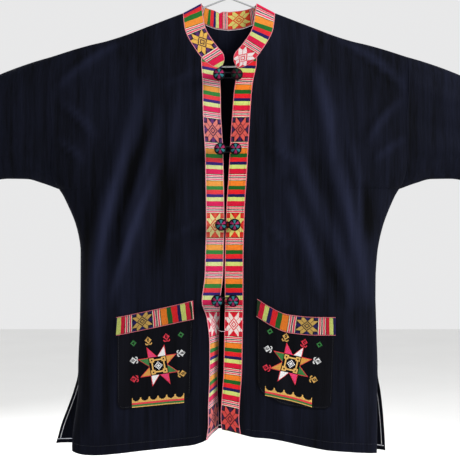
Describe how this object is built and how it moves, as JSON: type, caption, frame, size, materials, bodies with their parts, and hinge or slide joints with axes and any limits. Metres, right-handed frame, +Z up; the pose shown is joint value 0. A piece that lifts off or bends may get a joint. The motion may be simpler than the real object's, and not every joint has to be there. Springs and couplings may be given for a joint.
{
  "type": "embroidered jacket on a wire hanger",
  "caption": "Dark cotton jacket with a striped woven stand collar, front bands, ball buttons and embroidered patch pockets, hanging open-cuffed on a thin wire hanger.",
  "frame": {"origin": "inside top of the hanger's hook, where a rail holds it", "axes": "+X to the right as the jacket's front is seen, +Y to its back, +Z up"},
  "size_m": [1.224, 0.1075, 0.8771],
  "materials": {
    "cotton": "very dark navy cotton with a fine upright slub",
    "pocket_cotton": "the same dark cotton, embroidered in coloured thread",
    "woven_band": "woven band in crimson, orange, green, navy and yellow-green stripes",
    "button_thread": "black ball wrapped in teal and pink thread",
    "loop_cord": "thin black cord",
    "coated_wire": "pale plastic coat on thin steel wire"
  },
  "bodies": {
    "root": {"back": "cotton", "front_left": "cotton", "front_right": "cotton", "sleeve_left": "cotton", "sleeve_right": "cotton", "collar": "woven_band", "front_band_left": "woven_band", "front_band_right": "woven_band", "pocket_left": "pocket_cotton", "pocket_right": "pocket_cotton", "pocket_band_left": "woven_band", "pocket_band_right": "woven_band", "button_left_1": "button_thread", "button_left_2": "button_thread", "button_left_3": "button_thread", "button_left_4": "button_thread", "button_right_1": "button_thread", "button_right_2": "button_thread", "button_right_3": "button_thread", "button_right_4": "button_thread", "loop_1": "loop_cord", "loop_2": "loop_cord", "loop_3": "loop_cord", "loop_4": "loop_cord", "hanger_frame": "coated_wire", "hanger_hook": "coated_wire"}
  },
  "joints": []
}
